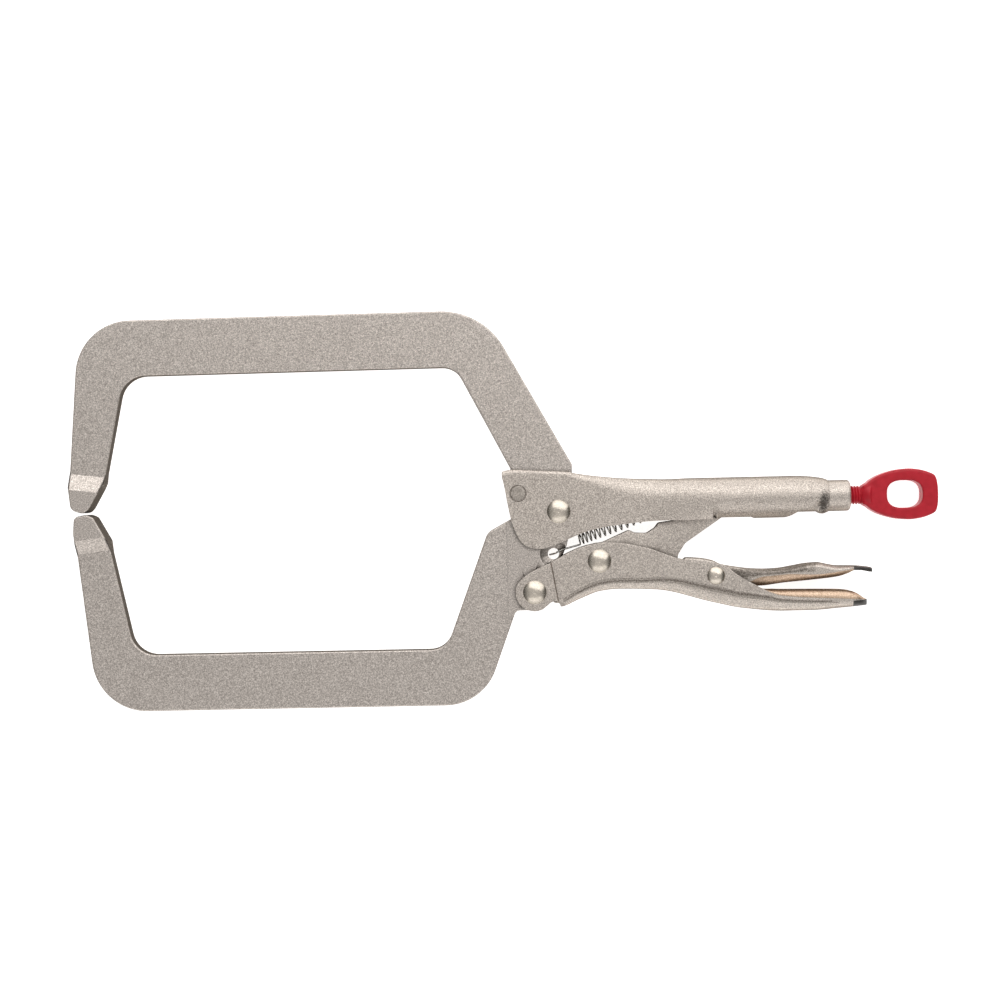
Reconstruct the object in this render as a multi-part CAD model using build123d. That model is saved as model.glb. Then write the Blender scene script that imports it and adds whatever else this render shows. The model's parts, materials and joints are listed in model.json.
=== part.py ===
from build123d import *
import math
import os

# Locking C clamp, lying flat with its mid-plane parallel to the ground.
# +X runs along the handles towards the screw, +Y towards the fixed arm, +Z up.
# Every outline below is measured from the jaw pivot, with z = 0 on the mid-plane.
# The last section moves the whole model so that the origin is the bottom centre of its box.

# ---- driving dimensions (mm, degrees) ----
PIVOT_AT = (28.277, -2.96)    # jaw pivot, from the origin of the finished part
SHEET = 2.5                   # steel sheet of both handles
ARM_T = 9.5                   # thickness of the two jaw arms
TANG_T = 8.9                  # thickness of the moving arm where cheeks pass over it
TIP_T = 17.0                  # thickness of the jaw tips
LINK_T = 6.4                  # thickness of the toggle link and the front of the release lever
SIDE_GAP = 0.3                # running gap beside moving plates
PIN_GAP = 0.05                # running gap round a rivet
EDGE_R = 0.9                  # rounding on the edges of the forged arms
FACET_TILT = 7.0              # lean of the slope between each bar and its thicker tip, in the side view

SCREW_Y = 5.05                # height of the screw axis over the jaw pivot
TUBE_R = 10.9                 # outer radius of the rolled rear of the upper handle
SLEEVE_R = 8.15               # outer radius of the threaded sleeve
THREAD_R = 4.9                # crest radius of the adjusting screw
THREAD_PITCH = 1.5
THREAD_DEPTH = 0.8

LEVER_PIVOT = (-13.4, -42.0)  # lever to moving arm
LINK_PIVOT = (20.8, -26.4)    # link to lever
NOSE = (91.0, SCREW_Y)        # centre of the rounded nose of the link
NOSE_R = 4.6
RELEASE_PIVOT = (81.6, -35.4)
FIXING_PIN = (-21.0, 9.9)
FIXING_PIN_R = 4.25
EYE_R = 10.0                  # eye of the moving arm round the jaw pivot
EAR_R = 9.9                   # rounded end of the lever round its pivot
SPRING_HOLE = (-3.0, -22.2)
SPRING_HOOK = (54.5, 1.0)     # hole in the lanced tab that holds the rear hook
SPRING_FRONT = (10.5, -15.2)   # ends of the coiled stretch
SPRING_REAR = (46.5, -3.9)
SPRING_R = 3.1
WIRE_D = 0.9

RIVET_R = 4.0
DOME_R = 6.15
DOME_H = 2.8
SMALL_RIVET_R = 2.8
SMALL_DOME_R = 4.5
SMALL_DOME_H = 2.1

CHEEK_IN = ARM_T / 2                       # inner face of the upper handle's cheeks
CHEEK_OUT = CHEEK_IN + SHEET
EAR_IN = TANG_T / 2 + SIDE_GAP             # inner face of the lever's front ears
EAR_OUT = EAR_IN + SHEET
LEVER_IN = LINK_T / 2 + SIDE_GAP           # inner face of the lever behind its joggle
LEVER_OUT = LEVER_IN + SHEET
HALF_DEPTH = TUBE_R                        # mid-plane height over the ground


# ---- helpers ----
def plate(outline, radii, low, high):
    """Flat plate with rounded corners, from z = low to z = high."""
    face = make_face(FilletPolyline(*outline, radius=radii, close=True))
    return Pos(0, 0, low) * extrude(face, high - low, dir=(0, 0, 1))


def slab(outline, radii, half):
    return plate(outline, radii, -half, half)


def disc(centre, radius, half):
    return Pos(centre[0], centre[1], 0) * Cylinder(radius, 2 * half)


def block(x0, x1, y0, y1, z0, z1):
    centre = ((x0 + x1) / 2, (y0 + y1) / 2, (z0 + z1) / 2)
    return Pos(*centre) * Box(x1 - x0, y1 - y0, z1 - z0)


def along_x(x0, x1, radius, y=SCREW_Y):
    """Round bar on a line parallel to X."""
    return Pos((x0 + x1) / 2, y, 0) * Rot(0, 90, 0) * Cylinder(radius, x1 - x0)


def side_cutters(profile, x0, x1):
    """The same (y, z) profile cut from both faces of an arm."""
    face = make_face(Polyline(*[(x0, y, z) for y, z in profile], close=True))
    bar = extrude(face, x1 - x0, dir=(1, 0, 0))
    return bar + mirror(bar, about=Plane.XY)


# ---- forged jaw arms ----
def rounded_edges(arm, on_bar):
    """Round the long edges of the bar, where on_bar(y) holds, and those of the jaw tip."""
    edges = []
    for edge in arm.edges():
        height = abs(edge.center().Z)
        reach = edge.end_point() - edge.start_point()
        across_the_tip = abs(reach.X) > 11 and abs(reach.Y) < 6
        if abs(reach.Z) > 0.01:
            continue
        if abs(height - ARM_T / 2) < 0.01 and on_bar(edge.center().Y):
            edges.append(edge)
        elif abs(height - TIP_T / 2) < 0.01 and not across_the_tip:
            edges.append(edge)
    return fillet(edges, EDGE_R)


def upper_arm():
    outline = [
        (-247.8, 4.1), (-254.8, 6.4), (-256.0, 18.0), (-249.4, 105.0), (-37.6, 106.4),
        (7.6, 24.6), (7.4, 9.5), (-24.4, 3.5), (-28.0, 12.0), (-24.6, 23.0),
        (-52.5, 76.9), (-226.2, 75.9), (-237.6, 20.0), (-245.0, 7.0),
    ]
    radii = [4, 4, 12, 29, 38, 3, 1, 3, 4, 0.5, 11, 14, 6, 2.5]
    arm = slab(outline, radii, TIP_T / 2)
    thin = [(0.0, ARM_T / 2), (-8.2, TIP_T / 2), (-8.2, 20.0), (100.0, 20.0), (100.0, ARM_T / 2)]
    arm -= Pos(-246.0, 24.2, 0) * Rot(0, 0, -FACET_TILT) * side_cutters(thin, -30, 50)
    flat = [(-10.0, ARM_T / 2), (-10.0, 20.0), (120.0, 20.0), (120.0, ARM_T / 2)]
    arm -= side_cutters(flat, -200, 20)
    arm = rounded_edges(arm, lambda y: y > 26)
    arm -= disc((0, 0), EYE_R + 2 * SIDE_GAP, 20)
    return arm - disc(FIXING_PIN, FIXING_PIN_R, 20)


def lower_arm():
    outline = [
        (-246.6, 3.9), (-253.2, 2.6), (-253.8, -6.0), (-243.1, -99.7), (-41.5, -100.4),
        (-23.4, -51.4), (-4.4, -51.4), (-4.4, -30.2), (0.6, -26.2), (3.9, -18.0), (7.2, -5.0),
        (-3.4, 8.0), (-37.4, -10.2), (-60.3, -71.0), (-223.1, -70.4), (-236.1, -10.2), (-243.2, 2.4),
    ]
    radii = [4, 3, 10, 29, 28, 3, 9, 1, 2, 3, 0, 0, 7, 12, 14, 1.5, 2.5]
    arm = slab(outline, radii, TIP_T / 2) + disc((0, 0), EYE_R, TIP_T / 2)
    thin = [(0.0, ARM_T / 2), (7.0, TIP_T / 2), (7.0, 20.0), (-110.0, 20.0), (-110.0, ARM_T / 2)]
    arm -= Pos(-246.0, -16.2, 0) * Rot(0, 0, FACET_TILT) * side_cutters(thin, -30, 50)
    flat = [(-120.0, ARM_T / 2), (-120.0, 20.0), (20.0, 20.0), (20.0, ARM_T / 2)]
    arm -= side_cutters(flat, -200, 20)
    arm = rounded_edges(arm, lambda y: y < -18)
    tang = [(-56.0, TANG_T / 2), (-56.0, 20.0), (20.0, 20.0), (20.0, TANG_T / 2)]
    arm -= side_cutters(tang, -27.5, 20)
    for hole in ((0, 0), LEVER_PIVOT):
        arm -= disc(hole, RIVET_R + PIN_GAP, 20)
    arm -= disc(SPRING_HOLE, 3.0, 20)
    spot = Pos(SPRING_HOLE[0], SPRING_HOLE[1], 1.5 + 5) * Cylinder(7.2, 10)
    return arm - spot - mirror(spot, about=Plane.XY)


# ---- upper handle: folded sheet in front, rolled into a tube behind ----
FOLD_END = 46.0               # the flat cheeks end here and the section turns into a tube
TUBE_START = 86.0
TUBE_END = 141.5
CHEEK_TOP = 16.3
CHEEK_BOTTOM = -6.6
RING_SIDES = 40


def handle_clevis():
    outline = [
        (-29.4, 21.0), (-24.0, 22.4), (6.0, 20.4), (33.0, 16.8), (FOLD_END, CHEEK_TOP),
        (FOLD_END, CHEEK_BOTTOM), (32.0, -7.5), (17.0, -9.7), (1.0, -16.4), (-9.0, -19.4),
        (-20.5, -17.0), (-25.4, -3.0),
    ]
    radii = [1.5, 1.5, 6, 20, 0, 0, 20, 20, 14, 14, 9, 20]
    outer = slab(outline, radii, CHEEK_OUT)
    top = [e for e in outer.edges() if e.center().X > 5 and e.center().Y > 15.5
           and abs(abs(e.center().Z) - CHEEK_OUT) < 0.01]
    outer = fillet(top, 2.4)
    inner = [(-40, -30), (60, -30), (60, CHEEK_TOP - SHEET), (33.0, 16.8 - SHEET),
             (8.2, 20.1 - SHEET), (8.2, 40), (-40, 40)]
    return outer - slab(inner, 0, CHEEK_IN)


def section(x, middle, half_height, half_width, squareness):
    """Closed ring of the handle at x: round at squareness 2, and boxier as it grows."""
    points = []
    for i in range(RING_SIDES):
        angle = 2 * math.pi * i / RING_SIDES
        along, across = math.cos(angle), math.sin(angle)
        reach = (abs(along / half_height) ** squareness
                 + abs(across / half_width) ** squareness) ** (-1 / squareness)
        points.append((x, middle + reach * along, reach * across))
    return make_face(Polyline(*points, close=True))


def handle_transition():
    """The boxy front section turns into the round tube; the hollow stays open below in front."""
    top, bottom = CHEEK_TOP, CHEEK_BOTTOM
    outer = loft([section(FOLD_END, (top + bottom) / 2, (top - bottom) / 2, CHEEK_OUT, 8),
                  section(TUBE_START, SCREW_Y, TUBE_R, TUBE_R, 2)], ruled=True)
    top, bottom = CHEEK_TOP - SHEET, CHEEK_BOTTOM - 2
    inner = loft([section(FOLD_END, (top + bottom) / 2, (top - bottom) / 2, CHEEK_IN, 12),
                  section(TUBE_START, SCREW_Y, SLEEVE_R, SLEEVE_R, 2)], ruled=True)
    return outer - inner


def handle_tube():
    profile = [(TUBE_START, 0), (TUBE_START, TUBE_R), (124.0, TUBE_R), (139.0, 9.7),
               (TUBE_END, 8.9), (TUBE_END, 0)]
    radii = [0, 0, 20, 2, 0.4, 0]
    face = make_face(FilletPolyline(*profile, radius=radii, close=True))
    tube = Pos(0, SCREW_Y, 0) * revolve(face, axis=Axis.X)
    return tube - along_x(TUBE_START - 1, TUBE_END + 1, SLEEVE_R)


def upper_handle():
    handle = handle_clevis() + handle_transition() + handle_tube()
    handle -= block(FOLD_END - 1, 81.2, -20, 0, -CHEEK_IN, CHEEK_IN)
    handle -= block(80, 103, -20, 0, -LINK_T / 2 - 0.6, LINK_T / 2 + 0.6)
    handle -= block(102, TUBE_END + 1, -20, 0, -0.4, 0.4)
    seam_relief = [(118.5, -10), (127.0, -2.3), (133.0, -2.3), (137.0, -10)]
    handle -= slab(seam_relief, [0, 2, 1.5, 0], 20)
    tab = slab([(51.5, -1.6), (57.5, -1.6), (57.5, 14.5), (51.5, 14.5)], [2, 2, 0, 0], 0.9)
    handle += tab - disc(SPRING_HOOK, 1.5, 5)
    handle -= disc((0, 0), RIVET_R, 20)
    return handle - disc(FIXING_PIN, FIXING_PIN_R, 20)


def threaded_sleeve():
    front, rear = 112.0, 153.2
    sleeve = along_x(front, rear, SLEEVE_R)
    rim = [e for e in sleeve.edges() if abs(e.center().X - rear) < 0.01]
    sleeve = chamfer(rim, 1.2)
    return sleeve - along_x(front - 1, rear + 1, THREAD_R + PIN_GAP)


# ---- rivets ----
def dome(radius, height, base):
    """Low round head standing on z = base, with the small mark of the riveting tool."""
    ball = (radius ** 2 + height ** 2) / (2 * height)
    head = Pos(0, 0, base + height - ball) * Sphere(ball)
    head &= Pos(0, 0, base + 5) * Box(40, 40, 10)
    return head - Pos(0, 0, base + height + 0.45) * Sphere(0.9)


def rivet(centre, shank_r, head_r, head_h, half_grip):
    head = dome(head_r, head_h, half_grip)
    body = Cylinder(shank_r, 2 * half_grip) + head + mirror(head, about=Plane.XY)
    return Pos(centre[0], centre[1], 0) * body


def arm_fixing_pin():
    return disc(FIXING_PIN, FIXING_PIN_R, CHEEK_OUT - 0.3)


# ---- lever: channel open towards the upper handle ----
def channel_plan(points, y0=-70.0, y1=0.0):
    """Plan outline given as (x, half width), mirrored about the mid-plane."""
    near = [(x, y0, w) for x, w in points]
    far = [(x, y0, -w) for x, w in reversed(points)]
    face = make_face(Polyline(*near, *far, close=True))
    return extrude(face, y1 - y0, dir=(0, 1, 0))


def rounded_tail(end, width, start):
    """Half widths of a round tail, from x = start to its end."""
    steps = 8
    points = []
    for i in range(steps + 1):
        angle = math.pi / 2 * i / steps
        points.append((start + (end - start) * math.sin(angle), max(width * math.cos(angle), 0.6)))
    return points


def lever():
    side = [
        (-19.0, -34.0), (4.4, -21.7), (18.0, -16.4), (31.0, -16.6), (50.0, -21.4), (66.0, -27.4),
        (85.0, -29.0), (103.0, -41.6), (112.0, -43.8), (150.5, -44.6), (160.7, -49.4),
        (160.7, -52.7), (132.0, -54.9), (110.0, -54.8), (80.3, -49.3), (49.9, -42.0),
        (30.0, -41.2), (20.0, -42.6), (1.2, -49.8), (-1.4, -46.9), (-6.0, -47.0), (-18.0, -49.0),
    ]
    radii = [1, 30, 12, 20, 60, 30, 9, 16, 12, 14, 0.8, 0.8, 60, 60, 60, 60, 30, 12, 0.4, 1, 3, 1]
    outer = slab(side, radii, 12) + disc(LEVER_PIVOT, EAR_R, 12)
    wide, inner_wide = 8.6, 6.1
    outer &= channel_plan([(-30, EAR_OUT), (-3.0, EAR_OUT), (0.0, LEVER_OUT), (88, LEVER_OUT),
                           (112, wide)] + rounded_tail(160.8, wide, 148.0))
    web = [(-40, -70), (3.6, -70), (3.6, -46.4), (20.6, -40.1), (30.0, -38.7), (49.6, -39.4),
           (79.8, -46.8), (110.0, -52.3), (132.0, -52.4), (170.0, -49.5), (170, 0), (-40, 0)]
    hollow = slab(web, [0, 0, 0, 12, 30, 57, 60, 60, 60, 0, 0, 0], 12)
    hollow &= channel_plan([(-40, EAR_IN), (-3.0, EAR_IN), (0.0, LEVER_IN), (88, LEVER_IN),
                            (112, inner_wide)] + rounded_tail(170.0, inner_wide, 150.0))
    channel = outer - hollow
    for centre in (LEVER_PIVOT, LINK_PIVOT):
        channel -= disc(centre, RIVET_R, 20)
    return channel - disc(RELEASE_PIVOT, SMALL_RIVET_R, 20)


def toggle_link():
    outline = [
        (13.6, -20.6), (36.8, -10.5), (39.6, -12.0), (46.0, -12.4), (50.4, -9.6), (52.3, -7.0),
        (60.0, -6.0), (86.0, 6.4), (90.0, 9.2), (95.2, 4.0), (84.9, -5.6), (66.0, -18.2),
        (62.3, -24.0), (61.5, -30.0), (50.0, -35.0), (22.0, -35.8),
    ]
    radii = [1, 2, 2, 4, 2, 2, 6, 6, 3, 3, 12, 5, 4, 5, 10, 3]
    link = slab(outline, radii, LINK_T / 2) + disc(LINK_PIVOT, 9.5, LINK_T / 2)
    link += disc(NOSE, NOSE_R, LINK_T / 2)
    return link - disc(LINK_PIVOT, RIVET_R + PIN_GAP, 20)


def release_lever():
    side = [
        (66.8, -25.2), (80.0, -26.9), (86.5, -29.6), (101.0, -32.4), (113.5, -32.4),
        (130.0, -29.7), (140.0, -31.0), (154.0, -31.6), (163.6, -32.6), (164.2, -35.4),
        (155.6, -34.4), (145.5, -37.3), (133.4, -38.6), (117.3, -39.9), (100.0, -41.4),
        (82.0, -41.2), (70.0, -38.0), (63.6, -30.0),
    ]
    radii = [2.5, 10, 10, 30, 30, 20, 30, 30, 0.8, 0.8, 6, 30, 60, 60, 30, 20, 8, 3]
    outer = slab(side, radii, 12)
    wide = 6.9
    outer &= channel_plan([(50, LINK_T / 2), (88, LINK_T / 2), (112, 5.4), (122, wide)]
                          + rounded_tail(164.3, wide, 150.0))
    skin = 2.0
    under = [(90, -60), (90, -34.0), (101.0, -34.6), (113.5, -34.5), (130.0, -31.9),
             (140.0, -33.1), (154.0, -33.8), (170.0, -35.2), (170, -60)]
    hollow = slab(under, [0, 1, 30, 30, 20, 30, 30, 0, 0], 12)
    hollow &= channel_plan([(50, 1.4), (88, 1.4), (112, 5.4 - skin), (122, wide - skin)]
                           + rounded_tail(172.0, wide - skin, 151.0))
    return outer - hollow - disc(RELEASE_PIVOT, SMALL_RIVET_R + PIN_GAP, 20)


# ---- adjusting screw ----
SCREW_FRONT = 107.0           # front end of the shank, behind the swivel point
SCREW_REAR = 159.2            # the shank meets the thumb key here
STEM_R = 1.5


def adjusting_screw():
    root = THREAD_R - THREAD_DEPTH
    profile = [(SCREW_FRONT + 0.3, 0), (SCREW_FRONT + 0.3, root)]
    turns = int((SCREW_REAR - SCREW_FRONT - 3) / THREAD_PITCH)
    for turn in range(turns):
        x = SCREW_FRONT + 1.0 + turn * THREAD_PITCH
        profile += [(x, root), (x + 0.55, THREAD_R), (x + 0.75, THREAD_R), (x + 1.3, root)]
    profile += [(SCREW_REAR, root), (SCREW_REAR, 3.6), (SCREW_REAR + 5, 3.6), (SCREW_REAR + 5, 0)]
    shank = Pos(0, SCREW_Y, 0) * revolve(make_face(Polyline(*profile, close=True)), axis=Axis.X)
    return shank - along_x(SCREW_FRONT - 1, SCREW_FRONT + 6.6, STEM_R + PIN_GAP)


def screw_point():
    tip = along_x(SCREW_FRONT - 5.2, SCREW_FRONT, 3.9)
    rim = [e for e in tip.edges() if e.center().X < SCREW_FRONT - 5]
    return fillet(rim, 1.6) + along_x(SCREW_FRONT, SCREW_FRONT + 6.0, STEM_R)


def thumb_key():
    half = [(0, 5.2), (3.0, 7.2), (7.0, 9.4), (13.0, 11.6), (19.0, 12.9), (25.0, 13.4),
            (30.5, 12.8), (37.8, 10.2), (40.2, 5.0)]
    outline = [(SCREW_REAR + x, SCREW_Y + y) for x, y in half]
    outline += [(SCREW_REAR + x, SCREW_Y - y) for x, y in reversed(half)]
    radii = [0, 8, 20, 25, 25, 25, 25, 3, 8]
    key = slab(outline, radii + radii[::-1], 5.75)
    rims = [e for e in key.edges() if abs(abs(e.center().Z) - 5.75) < 0.01]
    key = fillet(rims, 2.2)
    eye = [(-9.8, -7.3), (9.8, -7.3), (9.8, 7.3), (-9.8, 7.3)]
    eye = slab([(SCREW_REAR + 22.0 + x, SCREW_Y + y) for x, y in eye], 6.4, 10)
    return key - eye - along_x(SCREW_REAR - 1, SCREW_REAR + 5, 3.6)


def jaw_spring():
    """Plain tube on the path of the coil; its turns and hooks are added with the finish."""
    x0, y0 = SPRING_FRONT
    x1, y1 = SPRING_REAR
    length = math.hypot(x1 - x0, y1 - y0)
    tube = Cylinder(SPRING_R, length) - Cylinder(SPRING_R - WIRE_D, length)
    tilt = math.degrees(math.atan2(y1 - y0, x1 - x0))
    return Pos((x0 + x1) / 2, (y0 + y1) / 2, 0) * Rot(0, 0, tilt) * Rot(0, 90, 0) * tube


# ---- the set of parts ----
def all_parts():
    parts = {
        "upper_handle": upper_handle(),
        "upper_arm": upper_arm(),
        "arm_fixing_pin": arm_fixing_pin(),
        "threaded_sleeve": threaded_sleeve(),
        "jaw_pivot_rivet": rivet((0, 0), RIVET_R, DOME_R, DOME_H, CHEEK_OUT),
        "lower_arm": lower_arm(),
        "lever": lever(),
        "lever_rivet": rivet(LEVER_PIVOT, RIVET_R, DOME_R, DOME_H, EAR_OUT),
        "link_rivet": rivet(LINK_PIVOT, RIVET_R, DOME_R, DOME_H, LEVER_OUT),
        "release_rivet": rivet(RELEASE_PIVOT, SMALL_RIVET_R, SMALL_DOME_R, SMALL_DOME_H, LEVER_OUT),
        "toggle_link": toggle_link(),
        "release_lever": release_lever(),
        "screw_point": screw_point(),
        "adjusting_screw": adjusting_screw(),
        "thumb_key": thumb_key(),
        "jaw_spring": jaw_spring(),
    }
    place = Pos(PIVOT_AT[0], PIVOT_AT[1], HALF_DEPTH)
    return {name: place * solid for name, solid in parts.items()}


def main():
    os.makedirs("parts", exist_ok=True)
    for name, solid in all_parts().items():
        solid.label = name
        export_step(solid, f"parts/{name}.step")


main()
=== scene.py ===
import bpy
import bmesh
import json
import math
from bisect import bisect_right
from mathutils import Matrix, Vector


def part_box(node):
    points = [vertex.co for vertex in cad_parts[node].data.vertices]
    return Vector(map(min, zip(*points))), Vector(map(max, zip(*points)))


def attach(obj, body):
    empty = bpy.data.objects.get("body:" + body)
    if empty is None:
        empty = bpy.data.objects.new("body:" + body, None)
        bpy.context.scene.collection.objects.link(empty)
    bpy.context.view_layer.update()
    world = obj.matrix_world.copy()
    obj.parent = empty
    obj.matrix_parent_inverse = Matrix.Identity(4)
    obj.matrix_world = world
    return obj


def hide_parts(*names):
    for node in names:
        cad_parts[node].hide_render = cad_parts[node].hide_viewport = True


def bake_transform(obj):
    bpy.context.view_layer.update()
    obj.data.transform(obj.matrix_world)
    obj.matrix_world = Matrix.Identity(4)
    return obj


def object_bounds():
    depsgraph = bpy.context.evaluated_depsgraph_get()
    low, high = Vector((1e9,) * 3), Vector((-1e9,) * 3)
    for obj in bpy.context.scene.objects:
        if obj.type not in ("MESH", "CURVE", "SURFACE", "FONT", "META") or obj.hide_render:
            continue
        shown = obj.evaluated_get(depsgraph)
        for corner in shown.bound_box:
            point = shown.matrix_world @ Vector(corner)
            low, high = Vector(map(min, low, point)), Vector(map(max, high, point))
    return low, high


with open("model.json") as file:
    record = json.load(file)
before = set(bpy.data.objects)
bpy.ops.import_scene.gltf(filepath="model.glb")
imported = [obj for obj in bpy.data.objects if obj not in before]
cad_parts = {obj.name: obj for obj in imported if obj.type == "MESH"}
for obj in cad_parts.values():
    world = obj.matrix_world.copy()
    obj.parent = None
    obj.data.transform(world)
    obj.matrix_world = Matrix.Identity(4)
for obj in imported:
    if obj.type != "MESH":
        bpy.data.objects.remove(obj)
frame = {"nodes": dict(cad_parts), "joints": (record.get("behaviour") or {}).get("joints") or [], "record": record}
cad_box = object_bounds()
NODES = frame["nodes"]
JOINTS = {joint["name"]: joint for joint in frame["joints"]}

MM = 0.001
CENTRE_Z = (cad_box[0].z + cad_box[1].z) / 2


# ---- places, all from the frame; piece outlines are in mm from the jaw pivot ----
def joint_at(name):
    return Vector(JOINTS[name]["pos_m"])


ORIGIN = Vector((joint_at("jaw_pivot").x, joint_at("jaw_pivot").y, CENTRE_Z))


def at(x, y, z=0.0):
    return ORIGIN + Vector((x, y, z)) * MM


def local(point):
    """Place of a frame point, in mm from the jaw pivot."""
    return (Vector(point) - ORIGIN) / MM


SCREW_Y = local(joint_at("screw_turn")).y


def mix(a, b, t):
    return a + (b - a) * t


# ---- materials ----
class Shader:
    """Small helper that adds nodes to one material and links them."""

    def __init__(self, name):
        self.material = bpy.data.materials.new(name)
        self.material.use_nodes = True
        self.tree = self.material.node_tree
        self.bsdf = self.tree.nodes["Principled BSDF"]

    def node(self, kind, **values):
        made = self.tree.nodes.new(kind)
        for key, value in values.items():
            if hasattr(made, key):
                setattr(made, key, value)
            else:
                made.inputs[key.replace("_", " ")].default_value = value
        return made

    def link(self, source, target):
        self.tree.links.new(source, target)

    def noise(self, scale, detail=3.0, rough=0.55):
        coords = self.node("ShaderNodeTexCoord")
        noise = self.node("ShaderNodeTexNoise", Scale=scale, Detail=detail, Roughness=rough)
        self.link(coords.outputs["Object"], noise.inputs["Vector"])
        return noise.outputs["Fac"]

    def ramp(self, source, stops):
        ramp = self.node("ShaderNodeValToRGB")
        elements = ramp.color_ramp.elements
        while len(elements) < len(stops):
            elements.new(0.5)
        for element, (place, colour) in zip(elements, stops):
            element.position = place
            element.color = (*colour, 1)
        self.link(source, ramp.inputs["Fac"])
        return ramp.outputs["Color"]

    def bump(self, source, strength, distance):
        bump = self.node("ShaderNodeBump", Strength=strength, Distance=distance)
        self.link(source, bump.inputs["Height"])
        self.link(bump.outputs["Normal"], self.bsdf.inputs["Normal"])

    def occlusion_painted_shade(self, colour, reach, darkest):
        """Painted shade where a surface lies close to another one, from ambient occlusion."""
        near = self.node("ShaderNodeAmbientOcclusion", samples=4, Distance=reach)
        return self.multiplied(colour, self.grey(near.outputs["AO"], darkest, 1.0))

    def flatness(self):
        """1 on the flat faces of the clamp, 0 on its side walls."""
        coords = self.node("ShaderNodeTexCoord")
        split = self.node("ShaderNodeSeparateXYZ")
        self.link(coords.outputs["Normal"], split.inputs["Vector"])
        flat = self.node("ShaderNodeMath", operation="ABSOLUTE")
        self.link(split.outputs["Z"], flat.inputs[0])
        return flat.outputs["Value"]

    def walls_painted_dark(self, colour, darkest, full_at):
        """Painted shade: the sheared and forged side walls come out darker than the flat faces."""
        half_way = mix(darkest, 1.0, 0.35)
        stops = [(0.0, (darkest,) * 3), (full_at * 0.5, (half_way,) * 3), (full_at, (1.0,) * 3)]
        return self.multiplied(colour, self.ramp(self.flatness(), stops))

    def walls_roughened(self, roughness, extra, full_at):
        """The side walls are rougher than the flat faces."""
        rougher = self.node("ShaderNodeMapRange")
        rougher.inputs["From Max"].default_value = full_at
        rougher.inputs["To Min"].default_value = extra
        rougher.inputs["To Max"].default_value = 0.0
        self.link(self.flatness(), rougher.inputs["Value"])
        total = self.node("ShaderNodeMath", operation="ADD")
        self.link(roughness, total.inputs[0])
        self.link(rougher.outputs["Result"], total.inputs[1])
        return total.outputs["Value"]

    def crimp_painted_shade(self, colour, centre, reach, darkest):
        """A painted shade patch, broken up by noise, where the sheet was crimped."""
        coords = self.node("ShaderNodeTexCoord")
        placed = self.node("ShaderNodeVectorMath", operation="SUBTRACT")
        placed.inputs[1].default_value = centre
        scaled = self.node("ShaderNodeVectorMath", operation="DIVIDE")
        scaled.inputs[1].default_value = reach
        far = self.node("ShaderNodeVectorMath", operation="LENGTH")
        rough = self.node("ShaderNodeMath", operation="MULTIPLY_ADD")
        rough.inputs[1].default_value = 1.3
        self.link(coords.outputs["Object"], placed.inputs[0])
        self.link(placed.outputs["Vector"], scaled.inputs[0])
        self.link(scaled.outputs["Vector"], far.inputs[0])
        self.link(self.noise(900.0), rough.inputs[0])
        self.link(far.outputs["Value"], rough.inputs[2])
        stops = [(0.62, (darkest,) * 3), (1.0, (1.0,) * 3)]
        halved = self.node("ShaderNodeMath", operation="MULTIPLY")
        halved.inputs[1].default_value = 0.6
        self.link(rough.outputs["Value"], halved.inputs[0])
        return self.multiplied(colour, self.ramp(halved.outputs["Value"], stops))

    def multiplied(self, colour, shade):
        mixed = self.node("ShaderNodeMixRGB", blend_type="MULTIPLY", Fac=1.0)
        self.link(colour, mixed.inputs["Color1"])
        self.link(shade, mixed.inputs["Color2"])
        return mixed.outputs["Color"]

    def grey(self, source, low, high):
        spread = self.node("ShaderNodeMapRange")
        spread.inputs["To Min"].default_value = low
        spread.inputs["To Max"].default_value = high
        self.link(source, spread.inputs["Value"])
        return spread.outputs["Result"]


EDGE_TINT = (0.52, 0.45, 0.37, 1.0)    # darkens the plating at a grazing angle


def satin_nickel(name, dark, mid, light, roughness, grain, pitted=0.55, walls=0.35, full_at=0.6, crimp_shade=None):
    """Nickel plate on shot-blasted steel: a fine warm speckle with a pitted surface."""
    s = Shader(name)
    speckle = s.ramp(s.noise(grain, 4.0, 0.75), [(0.34, dark), (0.5, mid), (0.66, light)])
    # Painted shade: darker where surfaces lie close together, and darker on the sideways walls.
    shaded = s.walls_painted_dark(s.occlusion_painted_shade(speckle, 0.0022, 0.30), walls, full_at)
    if crimp_shade:
        shaded = s.crimp_painted_shade(shaded, *crimp_shade)
    s.link(shaded, s.bsdf.inputs["Base Color"])
    s.bsdf.inputs["Metallic"].default_value = 1.0
    s.bsdf.inputs["Specular Tint"].default_value = EDGE_TINT
    worn = s.grey(s.noise(grain * 0.6), roughness - 0.10, roughness + 0.10)
    s.link(s.walls_roughened(worn, 0.35, full_at), s.bsdf.inputs["Roughness"])
    s.bump(s.noise(grain * 0.9, 3.0, 0.7), pitted, 0.00022)
    return s.material


def polished(name, colour, roughness):
    s = Shader(name)
    wear = s.noise(900.0, 2.0)
    warm = tuple(c * 0.86 for c in colour)
    s.link(s.ramp(wear, [(0.35, warm), (0.6, colour)]), s.bsdf.inputs["Base Color"])
    s.bsdf.inputs["Metallic"].default_value = 1.0
    s.link(s.grey(s.noise(1500.0), roughness - 0.03, roughness + 0.05), s.bsdf.inputs["Roughness"])
    return s.material


def red_paint():
    s = Shader("red_paint")
    s.link(s.ramp(s.noise(260.0, 3.0), [(0.3, (0.40, 0.010, 0.020)), (0.7, (0.49, 0.015, 0.029))]),
           s.bsdf.inputs["Base Color"])
    s.bsdf.inputs["Specular IOR Level"].default_value = 0.22
    s.bsdf.inputs["Coat Weight"].default_value = 0.10
    s.bsdf.inputs["Coat Roughness"].default_value = 0.15
    s.link(s.grey(s.noise(700.0), 0.30, 0.42), s.bsdf.inputs["Roughness"])
    s.bump(s.noise(420.0, 2.0), 0.25, 0.0002)
    return s.material


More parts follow.
